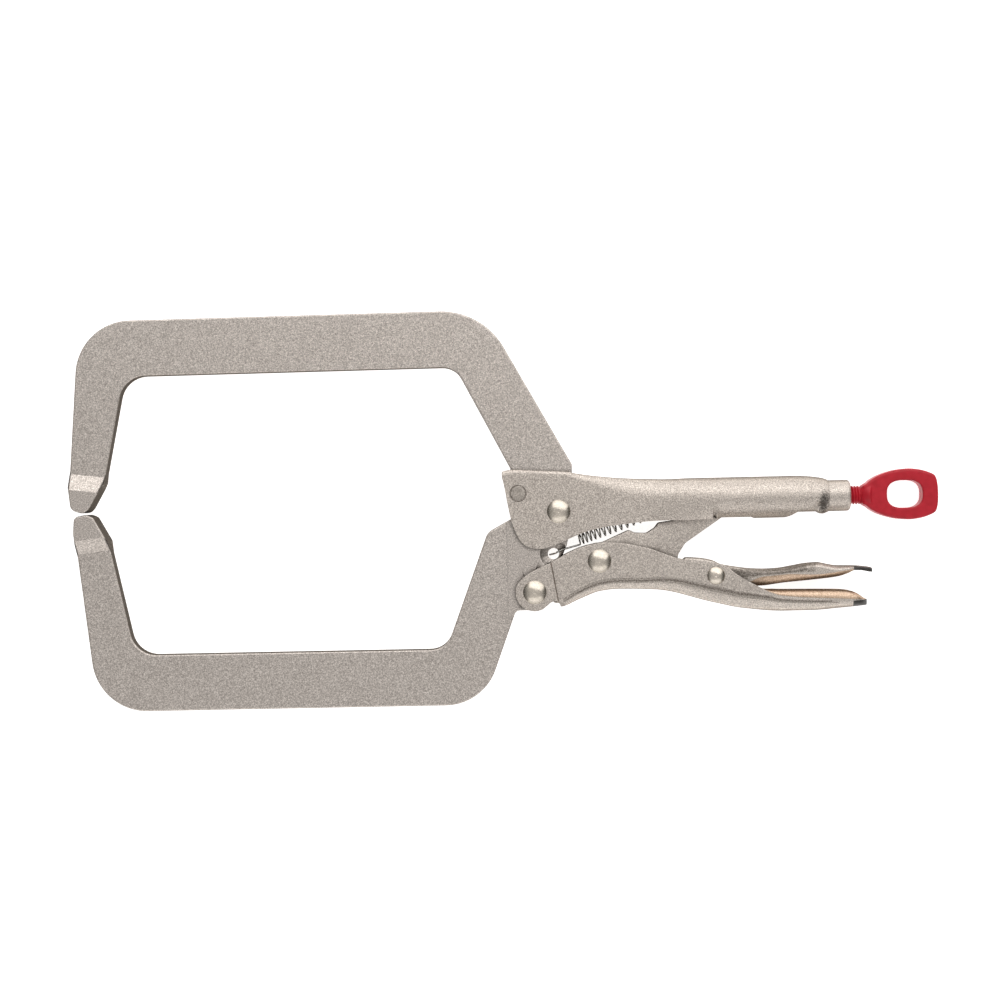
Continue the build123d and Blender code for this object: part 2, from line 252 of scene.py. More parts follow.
ARM = satin_nickel("arm_steel", (0.26, 0.23, 0.205), (0.54, 0.485, 0.44), (0.92, 0.84, 0.77), 0.40,
                   1700.0, walls=0.22, full_at=0.75)
SHEET = satin_nickel("sheet_steel", (0.26, 0.225, 0.195), (0.55, 0.49, 0.44), (0.90, 0.82, 0.73), 0.42,
                     1800.0)
# The handle gets a painted shade patch at the crimp near its rear end.
HANDLE = satin_nickel("sheet_steel_handle", (0.24, 0.205, 0.175), (0.54, 0.48, 0.43), (0.93, 0.85, 0.76),
                      0.46, 1800.0, crimp_shade=(at(138.6, 1.6), (0.0036, 0.0076, 0.1), 0.22))
# Painted reflection: a warm copper tone on the rolled lips, where they reflect the warm metal facing them.
WARM_REFLECTION = satin_nickel("sheet_steel_painted_reflection", (0.32, 0.21, 0.14), (0.55, 0.40, 0.29), (0.80, 0.63, 0.48),
                    0.36, 1500.0, walls=0.5)
# Painted shade: a dark sheet laid in the creases over the bends and in the groove round the fixing pin.
PAINTED_SHADE = satin_nickel("sheet_steel_painted_shade", (0.10, 0.085, 0.07), (0.22, 0.19, 0.165), (0.50, 0.45, 0.40),
                     0.45, 1500.0)
# Painted half shade along both sides of the creases.
PAINTED_HALF_SHADE = satin_nickel("sheet_steel_painted_half_shade", (0.16, 0.14, 0.12), (0.38, 0.335, 0.295), (0.72, 0.65, 0.58),
                      0.43, 1500.0)
CUT = polished("sheet_steel_cut_edge", (0.09, 0.085, 0.08), 0.45)
RIVET = polished("rivet_steel", (0.68, 0.61, 0.52), 0.25)
DARK = satin_nickel("dark_steel", (0.24, 0.21, 0.185), (0.42, 0.375, 0.33), (0.62, 0.56, 0.50), 0.42, 1500.0)
SPRING = polished("spring_steel", (0.56, 0.54, 0.50), 0.20)
RED = red_paint()
BY_SLOT = {"arm_steel": ARM, "sheet_steel": SHEET, "rivet_steel": RIVET, "dark_steel": DARK,
           "spring_steel": SPRING, "red_paint": RED}

for part in frame["record"]["subparts"]:
    mesh = NODES[part["node"]].data
    mesh.materials.clear()
    mesh.materials.append(BY_SLOT[part["material_slot"]])


# ---- mesh helpers ----
def curve(points):
    """Smooth function through (x, value) points that never overshoots."""
    xs = [p[0] for p in points]
    ys = [p[1] for p in points]
    steps = [(ys[i + 1] - ys[i]) / (xs[i + 1] - xs[i]) for i in range(len(xs) - 1)]
    slopes = [steps[0]]
    for before, after in zip(steps, steps[1:]):
        same_way = before * after > 0
        slopes.append(2 * before * after / (before + after) if same_way else 0.0)
    slopes.append(steps[-1])

    def value(x):
        if x <= xs[0]:
            return ys[0]
        if x >= xs[-1]:
            return ys[-1]
        i = bisect_right(xs, x) - 1
        span = xs[i + 1] - xs[i]
        t = (x - xs[i]) / span
        return ((2 * t ** 3 - 3 * t * t + 1) * ys[i] + (t ** 3 - 2 * t * t + t) * span * slopes[i]
                + (3 * t * t - 2 * t ** 3) * ys[i + 1] + (t ** 3 - t * t) * span * slopes[i + 1])
    return value


def smooth_step(x, low, high):
    t = min(max((x - low) / (high - low), 0.0), 1.0)
    return t * t * (3 - 2 * t)


def spaced(*runs):
    """Stations from (start, end, step) runs, each end shared with the next start."""
    places = []
    for start, end, step in runs:
        count = max(1, round((end - start) / step))
        places += [start + (end - start) * i / count for i in range(count)]
    return places + [runs[-1][1]]


def new_piece(name, points, faces, body, replaces, materials, marks=None, sharp=40):
    """Closed mesh of points in mm from the jaw pivot, riding on a CAD body."""
    mesh = bpy.data.meshes.new(name)
    mesh.from_pydata([at(*p) for p in points], [], faces)
    for material in materials:
        mesh.materials.append(material)
    if marks:
        for polygon, mark in zip(mesh.polygons, marks):
            polygon.material_index = mark
    piece = bpy.data.objects.new(name, mesh)
    bpy.context.scene.collection.objects.link(piece)
    finish_mesh(piece, sharp)
    if body:
        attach(piece, body)
    if replaces:
        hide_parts(*replaces)
    return piece


def finish_mesh(piece, sharp):
    """Merges doubles, turns faces outwards and shades smooth up to the given angle."""
    work = bmesh.new()
    work.from_mesh(piece.data)
    bmesh.ops.remove_doubles(work, verts=work.verts, dist=0.002 * MM)
    bmesh.ops.recalc_face_normals(work, faces=work.faces)
    work.to_mesh(piece.data)
    work.free()
    piece.data.shade_smooth()
    piece.data.set_sharp_from_angle(angle=math.radians(sharp))


def apply_modifiers(piece):
    bpy.context.view_layer.update()
    shaped = bpy.data.meshes.new_from_object(piece.evaluated_get(bpy.context.evaluated_depsgraph_get()))
    piece.modifiers.clear()
    piece.data = shaped


def ring_faces(rings, count, closed_ends=True):
    faces = []
    for r in range(rings - 1):
        for i in range(count):
            j = (i + 1) % count
            faces.append((r * count + i, r * count + j, (r + 1) * count + j, (r + 1) * count + i))
    if closed_ends:
        faces.append(tuple(range(count))[::-1])
        faces.append(tuple(range((rings - 1) * count, rings * count)))
    return faces


def lathe_z(centre, profile, count):
    """Rings of (radius, z) about a Z axis through centre."""
    points = []
    for radius, z in profile:
        for i in range(count):
            turn = 2 * math.pi * i / count
            points.append((centre[0] + radius * math.cos(turn), centre[1] + radius * math.sin(turn), z))
    return points, ring_faces(len(profile), count)


def lathe_x(profile, count, y=SCREW_Y, z=0.0):
    """Rings of (x, radius) about an X axis."""
    points = []
    for x, radius in profile:
        for i in range(count):
            turn = 2 * math.pi * i / count
            points.append((x, y + radius * math.cos(turn), z + radius * math.sin(turn)))
    return points, ring_faces(len(profile), count)


def sheet(name, stations, section, keep, thickness, marks=None, materials=(SHEET,), edge=0.35, **where):
    """Bent sheet metal: the outer skin as a grid, thickened inwards, with rounded cut edges.

    A section runs so that its faces look outwards: from +z round a web below, as on the lever,
    or from -z over a roof above, as on the handle and the release lever.
    """
    rows = [section(x) for x in stations]
    width = len(rows[0])
    points = [at(x, y, z) for x, row in zip(stations, rows) for y, z in row]
    faces, indices = [], []
    for r in range(len(rows) - 1):
        for c in range(width - 1):
            if keep((stations[r] + stations[r + 1]) / 2, c, width):
                a = r * width + c
                faces.append((a, a + 1, a + width + 1, a + width))
                indices.append(marks((stations[r] + stations[r + 1]) / 2, c, width) if marks else 0)
    mesh = bpy.data.meshes.new(name)
    mesh.from_pydata(points, [], faces)
    for material in materials:
        mesh.materials.append(material)
    for polygon, index in zip(mesh.polygons, indices):
        polygon.material_index = index
    piece = bpy.data.objects.new(name, mesh)
    bpy.context.scene.collection.objects.link(piece)
    work = bmesh.new()
    work.from_mesh(mesh)
    bmesh.ops.remove_doubles(work, verts=work.verts, dist=0.01 * MM)
    loose = [v for v in work.verts if not v.link_faces]
    bmesh.ops.delete(work, geom=loose, context="VERTS")
    work.to_mesh(mesh)
    work.free()
    solid = piece.modifiers.new("thickness", "SOLIDIFY")
    solid.thickness = thickness * MM
    solid.offset = -1.0
    solid.use_even_offset = False
    rounded = piece.modifiers.new("edges", "BEVEL")
    rounded.width = edge * MM
    rounded.segments = 2
    rounded.limit_method = "ANGLE"
    rounded.angle_limit = math.radians(50)
    rounded.use_clamp_overlap = True
    apply_modifiers(piece)
    for polygon in piece.data.polygons:
        middle = local(polygon.center)
        if where.get("cut") and where["cut"](middle.x, middle.y, abs(polygon.normal.z)):
            polygon.material_index = len(materials) - 1
    piece.data.shade_smooth()
    piece.data.set_sharp_from_angle(angle=math.radians(42))
    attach(piece, where["body"])
    if where.get("replaces"):
        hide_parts(*where["replaces"])
    return piece


# ---- upper handle ----
SHEET_T = 2.5
TUBE_R = curve([(86, 10.9), (123, 10.9), (131, 10.55), (137.5, 9.75), (140.3, 9.05), (141.5, 8.55)])
CHEEK_TOP = curve([(-29.3, 21.0), (-28.6, 21.6), (-24.0, 22.3), (-10, 21.5), (5.0, 20.6), (8.2, 19.9),
                   (20, 18.1), (33.0, 16.75), (46, 16.05), (58, 15.7), (70, 15.95), (86, 15.95)])
CHEEK_LOW = curve([(-29.3, 18.6), (-28.5, 15.6), (-26.5, 4.1), (-25.0, -3.4), (-23.5, -8.4),
                   (-21.2, -13.6), (-19.2, -16.2), (-16.9, -17.9), (-12.9, -19.1), (-9.5, -19.3),
                   (-6.2, -18.7), (-1.5, -17.2), (2.1, -15.8), (8.5, -13.0), (14.9, -10.7),
                   (20.7, -9.3), (31.2, -7.7), (52.3, -6.0), (80.4, -5.8), (81.3, -3.9), (82.4, -5.6)])
CHEEK_W = curve([(-30, 7.25), (44, 7.25), (54, 7.8), (66, 9.1), (78, 10.4), (86, 10.9)])
CORNER_Y = curve([(8, 2.6), (20, 5.0), (30, 8.0), (40, 10.0), (50, 10.6), (66, 10.8), (86, 10.9)])
CORNER_Z = curve([(8, 2.4), (20, 3.0), (30, 4.2), (40, 5.8), (50, 7.2), (66, 9.0), (86, 10.9)])
LEAN_IN = curve([(40, 0.0), (60, 0.8), (72, 2.0), (82, 3.2)])
SEAM_CUT = curve([(118.5, -5.83), (120.5, -5.4), (126.3, -2.5), (127.5, -2.2), (133.0, -2.2),
                  (134.5, -2.6), (138.5, -4.3), (141.5, -3.4)])
ROOF_NODES, CORNER_NODES, WALL_NODES = 4, 10, 20
CRIMP_DEPTH = 1.5             # dent in the tube that grips the sleeve


def seam_angle(x, radius):
    """How far round from the side the sheet goes, down to its free edge under the tube."""
    half_gap = mix(3.9, 0.25, smooth_step(x, 101.5, 103.5))
    low = SCREW_Y - min(SEAM_CUT(x), SCREW_Y - 0.1)
    by_gap = math.acos(half_gap / radius)
    by_cut = math.asin(min(low / radius, 1.0)) if x > 118.5 else by_gap
    return min(by_gap, by_cut)


def handle_section(x):
    top, wide, deep, round_z = CHEEK_TOP(x), CHEEK_W(x), CORNER_Y(x), CORNER_Z(x)
    if x > 86:
        wide = deep = round_z = TUBE_R(x)
        top = SCREW_Y + wide
    half = []
    for i in range(ROOF_NODES):
        half.append((top, (wide - round_z) * i / ROOF_NODES))
    bent = smooth_step(x, 6.6, 8.4)
    for i in range(CORNER_NODES):
        turn = math.pi / 2 * i / CORNER_NODES
        y_bent, z_bent = top - deep + deep * math.cos(turn), wide - round_z + round_z * math.sin(turn)
        y_flat = top - deep * i / CORNER_NODES
        z_flat = wide - 0.8 * (1 - i / CORNER_NODES) ** 3
        half.append((mix(y_flat, y_bent, bent), mix(z_flat, z_bent, bent)))
    rolled = smooth_step(x, 82.3, 84.6)
    radius = TUBE_R(x)
    end = seam_angle(x, radius)
    for i in range(WALL_NODES + 1):
        t = i / WALL_NODES
        y_open = mix(top - deep, CHEEK_LOW(x), t)
        z_open = wide - LEAN_IN(x) * t * t
        pressed = CRIMP_DEPTH * math.exp(-((x - 136.5) / 3.2) ** 2 - ((end * t - 0.62) / 0.30) ** 2)
        y_tube = SCREW_Y - (radius - pressed) * math.sin(end * t)
        z_tube = (radius - pressed) * math.cos(end * t)
        half.append((mix(y_open, y_tube, rolled), mix(z_open, z_tube, rolled)))
    return [(y, -z) for y, z in reversed(half[1:])] + half


def roof_is_there(x, column, width):
    """The roof of the front section starts behind the fixed arm."""
    from_middle = abs(column + 0.5 - (width - 1) / 2)
    return x > 8.2 or from_middle > ROOF_NODES


def upper_handle():
    stations = spaced((-29.3, -28.5, 0.2), (-28.5, -18, 0.4), (-18, 6, 1.0), (6, 9, 0.3), (9, 78, 1.5),
                      (78, 80.4, 0.6), (80.4, 85, 0.2), (85, 101, 2.0), (101, 104, 0.25), (104, 118, 2.0),
                      (118, 141.5, 0.5))
    sheet("upper_handle_shell", stations, handle_section, roof_is_there, SHEET_T, materials=(HANDLE,),
          body="fixed_jaw", replaces=["upper_handle"], slot="sheet_steel")
    outline = [(51.5, 14.5), (51.5, -0.2), (52.0, -1.2), (53.0, -1.6), (56.0, -1.6), (57.0, -1.2),
               (57.5, -0.2), (57.5, 14.5)]
    points = [(x, y, z) for z in (-0.9, 0.9) for x, y in outline]
    new_piece("spring_tab", points, ring_faces(2, len(outline)), "fixed_jaw", None, [SHEET])


upper_handle()


# ---- lever: channel open towards the upper handle, with rolled lips on its tail ----
LEVER_TOP = curve([(-23.3, -40.6), (-22.6, -38.0), (-20.6, -35.4), (-15.3, -31.5), (-4.1, -26.3),
                   (4.4, -21.9), (12.0, -18.8), (19.3, -17.2), (24, -16.7), (29.4, -16.9), (45.5, -20.0),
                   (63.1, -26.2), (74.2, -28.0), (84.7, -29.6), (94.0, -36.0), (103.6, -41.6),
                   (108.5, -44.1), (115.0, -46.4), (130.8, -47.9), (146, -48.7), (154, -49.2),
                   (160.8, -49.6)])
LEVER_LOW = curve([(-23.3, -43.4), (-22.7, -45.6), (-20.8, -48.7), (-17.6, -51.0), (-13.4, -51.9),
                   (-9.7, -51.1), (-6.9, -49.0), (-4.6, -47.3), (-1.8, -46.9), (-0.6, -47.8), (0.2, -49.8),
                   (10.2, -46.2), (21.0, -42.3), (29.9, -41.4), (49.9, -42.1), (80.3, -49.5),
                   (95.4, -52.8), (117.5, -54.8), (132.2, -54.8), (146, -53.9), (160.8, -52.8)])
LEVER_RIM = curve([(104, -41.9), (108.5, -42.9), (114.6, -43.6), (130, -43.9), (146, -44.3), (151.4, -44.8),
                   (155.5, -46.4), (158.7, -48.6), (160.8, -49.6)])
LEVER_W = curve([(-30, 6.0), (88, 6.0), (94, 6.4), (106, 8.1), (112, 8.6), (148, 8.6), (153, 8.0),
                 (156.5, 6.7), (159, 4.8), (160.8, 2.6)])
BEND_Y = curve([(0, 2.5), (10, 4.4), (42, 4.9), (65, 7.4), (87, 8.2), (105, 8.0), (118.7, 6.9), (140, 5.0),
                (152, 3.4), (160.8, 2.2)])
BEND_Z = curve([(0, 2.6), (10, 4.0), (90, 4.6), (112, 6.6), (150, 6.6), (156, 4.6), (160.8, 1.6)])
LIP_NODES, SIDE_NODES, BEND_NODES, WEB_NODES = 8, 16, 10, 3
LIP_TURN = math.radians(78)   # how far the lips of the tail are rolled in
LIP_LEAN = 3.4                # and how far that takes their edge inwards
JOGGLE = 1.25                 # step out of the ears, over the wider moving arm
CREASE_DEPTH = 0.32


def lever_section(x):
    top, low = LEVER_TOP(x), LEVER_LOW(x)
    lip = smooth_step(x, 103.0, 113.0)
    rim = mix(top, max(LEVER_RIM(x), top), lip)
    wide = LEVER_W(x)
    bend = smooth_step(x, 0.6, 6.0)
    bend_y, bend_z = min(BEND_Y(x), (top - low) * 0.8), min(BEND_Z(x), wide - 0.4)
    half = []
    lean = LIP_LEAN * lip * min(1.0, wide / 8.6)
    for i in range(LIP_NODES):
        turn = LIP_TURN * (1 - i / LIP_NODES)
        y = top + (rim - top) * math.sin(turn) / math.sin(LIP_TURN)
        half.append((y, wide - lean * (1 - math.cos(turn))))
    for i in range(SIDE_NODES):
        half.append((mix(top, low + bend_y, i / SIDE_NODES), wide))
    for i in range(BEND_NODES + 1):
        turn = math.pi / 2 * i / BEND_NODES
        y_bent, z_bent = low + bend_y * (1 - math.sin(turn)), wide - bend_z * (1 - math.cos(turn))
        y_flat = low + bend_y * (1 - i / BEND_NODES)
        half.append((mix(y_flat, y_bent, bend), mix(wide, z_bent, bend)))
    for i in range(1, WEB_NODES):
        half.append((low, half[-1][1] * (1 - 1 / (WEB_NODES - i + 1))))
    half.append((low, 0.0))
    shaped = []
    for y, z in half:
        fold = -4.6 + 3.0 * (-26.7 - y) / 17.6
        step_out = JOGGLE * (1 - smooth_step(x, fold - 0.45, fold + 0.45))
        crease = CREASE_DEPTH * math.exp(-((y - low - bend_y - 0.3) / 0.75) ** 2) * smooth_step(x, 6, 16)
        crease *= 1 - smooth_step(x, 128, 150)
        shaped.append((y, z + step_out - crease if z > 3 else z))
    return shaped + [(y, -z) for y, z in reversed(shaped[:-1])]


def web_is_there(x, column, width):
    """The two ears in front of the web stand apart."""
    from_middle = abs(column + 0.5 - (width - 1) / 2)
    return x > 3.6 or from_middle > WEB_NODES


def lip_mark(x, column, width):
    """1 on the rolled lips, painted with a warm reflection, 2 and 3 in the crease over the bend, painted with
    shade.
    """
    nearest = min(column, width - 2 - column)
    bend_start = LIP_NODES + SIDE_NODES
    if 1.5 < x < 142 and nearest == bend_start:
        return 2
    if 1.5 < x < 146 and nearest in (bend_start - 1, bend_start + 1):
        return 3
    return 1 if nearest < LIP_NODES and x > 104.5 else 0


def lever_tip_cut(x, y, facing):
    return x > 153.0 and y < LEVER_LOW(x) + 3.3 and facing > 0.25


def lever():
    stations = spaced((-23.3, -22.7, 0.1), (-22.7, -8, 0.5), (-8, 6, 0.25), (6, 84, 1.5), (84, 160.0, 0.8),
                      (160.0, 160.8, 0.2))
    sheet("lever_shell", stations, lever_section, web_is_there, SHEET_T, marks=lip_mark,
          materials=(SHEET, WARM_REFLECTION, PAINTED_SHADE, PAINTED_HALF_SHADE, CUT), cut=lever_tip_cut,
          body="lever_body", replaces=["lever"], slot="sheet_steel")


lever()


# ---- release lever: narrow channel open towards the lever, with a rolled-in lower edge ----
RELEASE_TOP = curve([(63.8, -29.0), (64.6, -27.0), (66.4, -25.6), (72, -25.9), (79.7, -27.2), (84.4, -29.4),
                     (92, -31.0), (101.2, -32.2), (108, -32.5), (115, -32.2), (122, -31.2), (129.6, -30.0),
                     (135.4, -29.7), (140, -30.6), (145.6, -31.6), (153.8, -31.8), (163.2, -32.8),
                     (164.1, -33.3)])
RELEASE_LOW = curve([(63.8, -30.2), (66, -34.6), (70, -37.8), (82, -41.0), (92, -41.5), (105.2, -41.3),
                     (117.3, -39.9), (133.4, -38.6), (145.5, -37.3), (151, -35.7), (154.5, -34.3),
                     (156.5, -34.3), (164.1, -35.4)])
RELEASE_W = curve([(60, 3.2), (88, 3.2), (100, 4.2), (112, 5.4), (122, 6.9), (150, 6.9), (156, 6.2),
                   (159, 4.9), (163.0, 3.3), (164.1, 2.2)])
CREASE_UP = curve([(90, 0.45), (104, 0.48), (118, 0.46), (128, 0.30), (136, 0.22), (146, 0.35), (156, 0.5)])
TOP_NODES = 3
RELEASE_T = 1.9


def release_section(x):
    top, low, wide = RELEASE_TOP(x), RELEASE_LOW(x), RELEASE_W(x)
    deep = top - low
    lip = smooth_step(x, 92.0, 108.0) * (1 - smooth_step(x, 154.0, 159.0))
    bend_y, bend_z = min(2.6, deep * 0.45), min(wide - 0.4, mix(1.6, 4.6, smooth_step(x, 88, 122)))
    crease = min(mix(low, low + deep * CREASE_UP(x) + 0.6, lip), top - bend_y - 0.5)
    half = []
    for i in range(LIP_NODES):
        t = 1 - i / LIP_NODES
        y = mix(crease, low, t)
        half.append((y, wide - 2.6 * lip * min(1.0, wide / 6.9) * (0.35 * t + 0.65 * t * t)))
    for i in range(SIDE_NODES):
        half.append((mix(crease, top - bend_y, i / SIDE_NODES), wide))
    for i in range(BEND_NODES + 1):
        turn = math.pi / 2 * i / BEND_NODES
        half.append((top - bend_y * (1 - math.sin(turn)), wide - bend_z * (1 - math.cos(turn))))
    edge_z = half[-1][1]
    for i in range(1, TOP_NODES):
        half.append((top, edge_z * (1 - i / TOP_NODES)))
    half.append((top, 0.0))
    return [(y, -z) for y, z in half] + half[-2::-1]


def release_mark(x, column, width):
    """1 on the rolled lower edge, painted with a warm reflection, 2 and 3 in the crease under the top edge,
    painted with shade.
    """
    nearest = min(column, width - 2 - column)
    bend_start = LIP_NODES + SIDE_NODES
    if 90 < x < 129 and bend_start - 6 <= nearest <= bend_start + 3:
        return 2
    if 87 < x < 134 and bend_start - 10 <= nearest <= bend_start + 5:
        return 3
    return 1 if nearest < LIP_NODES and x > 98 else 0


def release_tip_cut(x, y, facing):
    return x > 153.4 and y < RELEASE_TOP(x) - 0.3 and facing > 0.2


def release_lever():
    stations = spaced((63.8, 66.6, 0.2), (66.6, 90, 1.0), (90, 160, 0.8), (160, 164.1, 0.3))
    sheet("release_lever_shell", stations, release_section, lambda x, column, width: True, RELEASE_T,
          marks=release_mark, materials=(SHEET, WARM_REFLECTION, PAINTED_SHADE, PAINTED_HALF_SHADE, CUT), cut=release_tip_cut,
          body="release_body", replaces=["release_lever"], slot="sheet_steel")


release_lever()


# ---- rivets ----
def dome_profile(radius, height, base):
    """Half profile of a domed head from its centre out, with the small mark of the riveting tool."""
    ball = (radius ** 2 + height ** 2) / (2 * height)
    profile = []
    for i in range(1, 25):
        r = radius * 0.985 * math.sin(math.pi / 2 * i / 24)
        z = base + height - ball + math.sqrt(ball ** 2 - r ** 2)
        pit = 0.28 * max(0.0, 1 - (r / 1.05) ** 2) ** 2
        rim = 0.05 * math.exp(-((r - 1.15) / 0.25) ** 2)
        profile.append((r, z - pit + rim))
    return profile + [(radius, base + 0.12), (radius, base - 0.02), (radius - 0.3, base - 0.05)]


def rivet(node, joint, body, radius, height, base, shank):
    centre = local(joint_at(joint))
    head = dome_profile(radius, height, base)
    profile = head + [(shank, base - 0.06), (shank, -base + 0.06)] + [(r, -z) for r, z in reversed(head)]
    points, faces = lathe_z((centre.x, centre.y), profile, 48)
    new_piece(node + "_domed", points, faces, body, [node], [RIVET], sharp=50)


rivet("jaw_pivot_rivet", "jaw_pivot", "fixed_jaw", 6.2, 2.45, 7.25, 3.9)
rivet("lever_rivet", "lever_pivot", "lever_body", 6.2, 2.45, 7.25, 3.9)
rivet("link_rivet", "link_pivot", "lever_body", 6.2, 2.45, 6.0, 3.9)
rivet("release_rivet", "release_pivot", "lever_body", 4.65, 1.85, 6.0, 2.7)


def fixing_pin():
    low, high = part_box("arm_fixing_pin")
    middle = local((low + high) / 2)
    face = [(0.5, 7.30), (1.0, 7.38), (1.8, 7.44), (2.8, 7.44), (3.5, 7.38), (3.85, 7.29), (4.5, 7.28),
            (4.55, 7.2), (4.2, 6.8)]
    profile = face + [(r, -z) for r, z in reversed(face)]
    points, faces = lathe_z((middle.x, middle.y), profile, 48)
    outer = [math.dist(points[f[0]][:2], middle[:2]) for f in faces]
    # The ring round the head takes the painted shade, which darkens its groove.
    marks = [1 if len(f) == 4 and 3.5 < r < 4.6 else 0 for f, r in zip(faces, outer)]
    new_piece("arm_fixing_pin_peened", points, faces, "fixed_jaw", ["arm_fixing_pin"],
              [DARK, PAINTED_SHADE], marks=marks)


fixing_pin()


# ---- adjusting screw, sleeve and key ----
SCREW_FRONT, SCREW_REAR, THREAD_R, ROOT_R, PITCH = 107.3, 159.6, 4.9, 4.1, 1.5


def adjusting_screw():
    around, per_turn = 36, 10
    rows = int((SCREW_REAR - SCREW_FRONT) / PITCH * per_turn)
    points = []
    for r in range(rows + 1):
        x = mix(SCREW_FRONT, SCREW_REAR, r / rows)
        run_out = smooth_step(x, SCREW_FRONT, SCREW_FRONT + 2) * (1 - smooth_step(x, 158.2, 159.6))
        for i in range(around):
            turn = i / around
            phase = ((x - SCREW_FRONT) / PITCH - turn) % 1.0
            flank = min(1.0, max(0.0, 1.35 - 2.7 * abs(phase - 0.5)))
            radius = ROOT_R + (THREAD_R - ROOT_R) * flank * run_out
            angle = 2 * math.pi * turn
            points.append((x, SCREW_Y + radius * math.cos(angle), radius * math.sin(angle)))
    new_piece("adjusting_screw_thread", points, ring_faces(rows + 1, around), "screw_body",
              ["adjusting_screw"], [RED], sharp=60)


adjusting_screw()


def sleeve():
    profile = [(112.2, 5.0), (112.0, 7.9), (112.3, 8.15), (150.6, 8.15), (151.9, 8.12), (152.6, 7.8),
               (153.05, 7.3), (153.2, 6.7), (153.2, 5.5), (152.7, 4.97), (113.0, 4.97)]
    count = 64
    points = []
    for x, radius in profile:
        for i in range(count):
            turn = 2 * math.pi * i / count
            points.append((x, SCREW_Y + radius * math.cos(turn), radius * math.sin(turn)))
    faces = ring_faces(len(profile), count, closed_ends=False)
    last = len(profile) - 1
    for i in range(count):
        j = (i + 1) % count
        faces.append((last * count + i, last * count + j, j, i))
    new_piece("threaded_sleeve_turned", points, faces, "fixed_jaw", ["threaded_sleeve"],
              [SHEET], sharp=50)


sleeve()


def copy_of(node, name):
    piece = bpy.data.objects.new(name, NODES[node].data.copy())
    bpy.context.scene.collection.objects.link(piece)
    work = bmesh.new()
    work.from_mesh(piece.data)
    bmesh.ops.remove_doubles(work, verts=work.verts, dist=0.005 * MM)
    bmesh.ops.recalc_face_normals(work, faces=work.faces)
    work.to_mesh(piece.data)
    work.free()
    return piece


KEY_HALF = curve([(159.4, 5.0), (161, 5.6), (163.5, 7.6), (167, 9.7), (172, 11.6), (178, 12.95), (184, 13.4),
                  (189, 12.9), (193, 11.9), (196.6, 10.4), (197.7, 9.6), (198.6, 7.6), (199.2, 4.0),
                  (199.35, 0.6)])
KEY_T, KEY_RIM = 5.3, 1.7
EYE_X, EYE_HALF_X, EYE_HALF_Y = 181.6, 9.3, 7.2
EYE_SQUARENESS = 2.7
COLLAR_BOW = 0.034            # how far the end of the collar curves back round the eye


def eye_reach(turn):
    """Distance from the middle of the eye to its edge, a rounded oblong."""
    along, across = abs(math.cos(turn)) / EYE_HALF_X, abs(math.sin(turn)) / EYE_HALF_Y
    return (along ** EYE_SQUARENESS + across ** EYE_SQUARENESS) ** (-1 / EYE_SQUARENESS)


def add_points(work, points, faces):
    made = [work.verts.new(at(*p)) for p in points]
    for face in faces:
        work.faces.new([made[i] for i in face])


def key_outline(count):
    """Even angles about the eye, each out to the edge of the key."""
    points = []
    for i in range(count):
        turn = 2 * math.pi * i / count
        low, high = 0.0, 30.0
        for _ in range(30):
            reach = (low + high) / 2
            x, y = EYE_X + reach * math.cos(turn), abs(reach * math.sin(turn))
            inside = 159.4 < x < 199.35 and y < KEY_HALF(x)
            low, high = (reach, high) if inside else (low, reach)
        points.append((turn, low))
    return points


def thumb_key():
    """Cast key fused with the round collar that takes the screw, then softened by its thick paint."""
    count = 144
    outline = key_outline(count)
    rings = []
    levels = [(KEY_RIM * (1 - math.cos(math.radians(a))), KEY_T - KEY_RIM * (1 - math.sin(math.radians(a))))
              for a in (0, 15, 30, 45, 60, 75, 90)]
    for inset, z in levels:
        rings.append([(reach - inset, turn, z) for turn, reach in outline])
    for inset, z in ((0.8, KEY_T), (0.45, KEY_T - 0.1), (0.15, KEY_T - 0.4), (0.0, KEY_T - 0.9)):
        rings.append([(eye_reach(turn) + inset, turn, z) for turn, _ in outline])
    rings += [[(reach, turn, -z) for reach, turn, z in ring] for ring in reversed(rings)]
    points = []
    for ring in rings:
        points += [(EYE_X + reach * math.cos(turn), SCREW_Y + reach * math.sin(turn), z)
                   for reach, turn, z in ring]
    faces = ring_faces(len(rings), count, closed_ends=False)
    last = (len(rings) - 1) * count
    faces += [(last + i, last + (i + 1) % count, (i + 1) % count, i) for i in range(count)]
    work = bmesh.new()
    add_points(work, points, faces)
    collar = [(158.9, 4.6), (159.5, 5.2), (160.6, 6.0), (161.8, 6.7), (162.8, 7.0), (163.3, 6.9),
              (163.5, 6.0), (163.6, 4.0)]
    points, faces = lathe_x(collar, 72)
    bowed = [(x + COLLAR_BOW * (y - SCREW_Y) ** 2 * smooth_step(x, 160.0, 163.0), y, z) for x, y, z in points]
    add_points(work, bowed, faces)
    bmesh.ops.recalc_face_normals(work, faces=work.faces)
    mesh = bpy.data.meshes.new("thumb_key_painted")
    work.to_mesh(mesh)
    work.free()
    key = bpy.data.objects.new("thumb_key_painted", mesh)
    bpy.context.scene.collection.objects.link(key)
    fuse = key.modifiers.new("fuse", "REMESH")
    fuse.mode = "VOXEL"
    fuse.voxel_size = 0.35 * MM
    soft = key.modifiers.new("soft", "SMOOTH")
    soft.factor = 0.5
    soft.iterations = 5
    apply_modifiers(key)
    key.data.materials.clear()
    key.data.materials.append(RED)
    key.data.shade_smooth()
    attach(key, "screw_body")
    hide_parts("thumb_key")


thumb_key()


